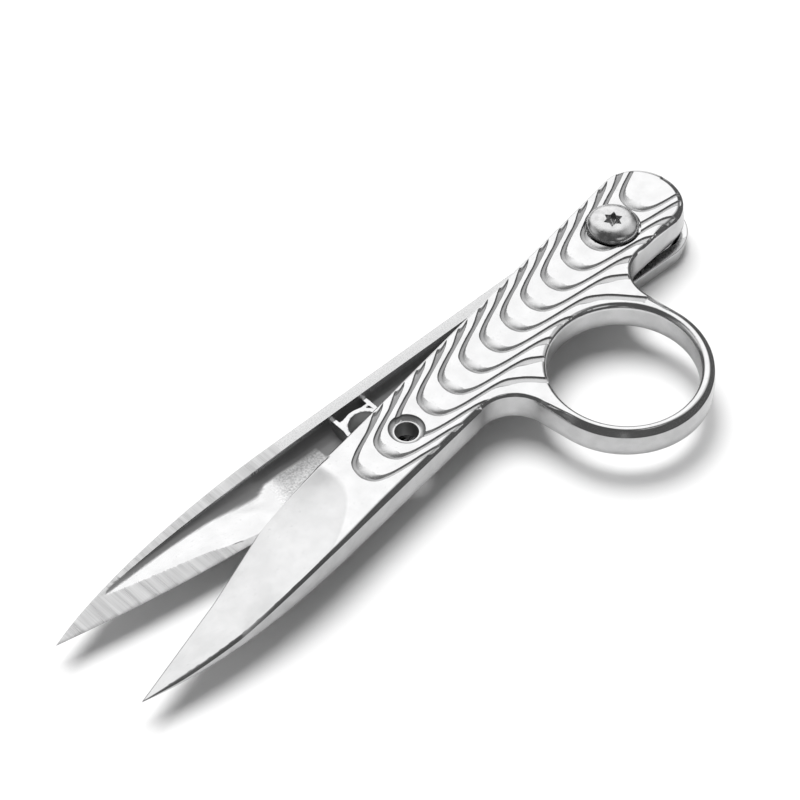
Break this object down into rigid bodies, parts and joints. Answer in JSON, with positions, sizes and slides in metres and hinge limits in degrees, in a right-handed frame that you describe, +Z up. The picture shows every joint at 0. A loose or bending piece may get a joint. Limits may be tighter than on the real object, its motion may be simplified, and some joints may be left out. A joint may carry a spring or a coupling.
{
  "type": "thread snips",
  "caption": "Cast stainless steel thread snips: a plain half and a half with a finger ring turn on a screw near the rear, with a spring that opens them and short pointed blades.",
  "frame": {"origin": "centre of the base of the bounding box, on the surface that the snips lie on", "axes": "+X along the plain half towards the blade tips, +Y towards the finger ring, +Z up through the pivot screw's head"},
  "size_m": [0.1168, 0.0396, 0.0104],
  "materials": {
    "ring_half_steel": "polished",
    "plain_half_steel": "polished",
    "screw_steel": "polished",
    "pin_steel": "satin",
    "spring_steel": "satin"
  },
  "bodies": {
    "plain_half": {"plain_half": "plain_half_steel", "pivot_screw": "screw_steel", "lock_nut": "screw_steel", "thrust_washer": "pin_steel", "stop_pin": "pin_steel", "return_spring": "spring_steel"},
    "ring_half": {"ring_half": "ring_half_steel"}
  },
  "joints": [
    {"name": "snips_pivot", "type": "hinge", "parent": "plain_half", "child": "ring_half", "pos_m": [-0.04515, -0.01237, 0.0045], "axis": [0, 0, -1], "range_deg": [0, 9.1], "stiffness_Nm_per_rad": 0.028, "springref_deg": -20.05, "deforming": ["return_spring"]}
  ]
}
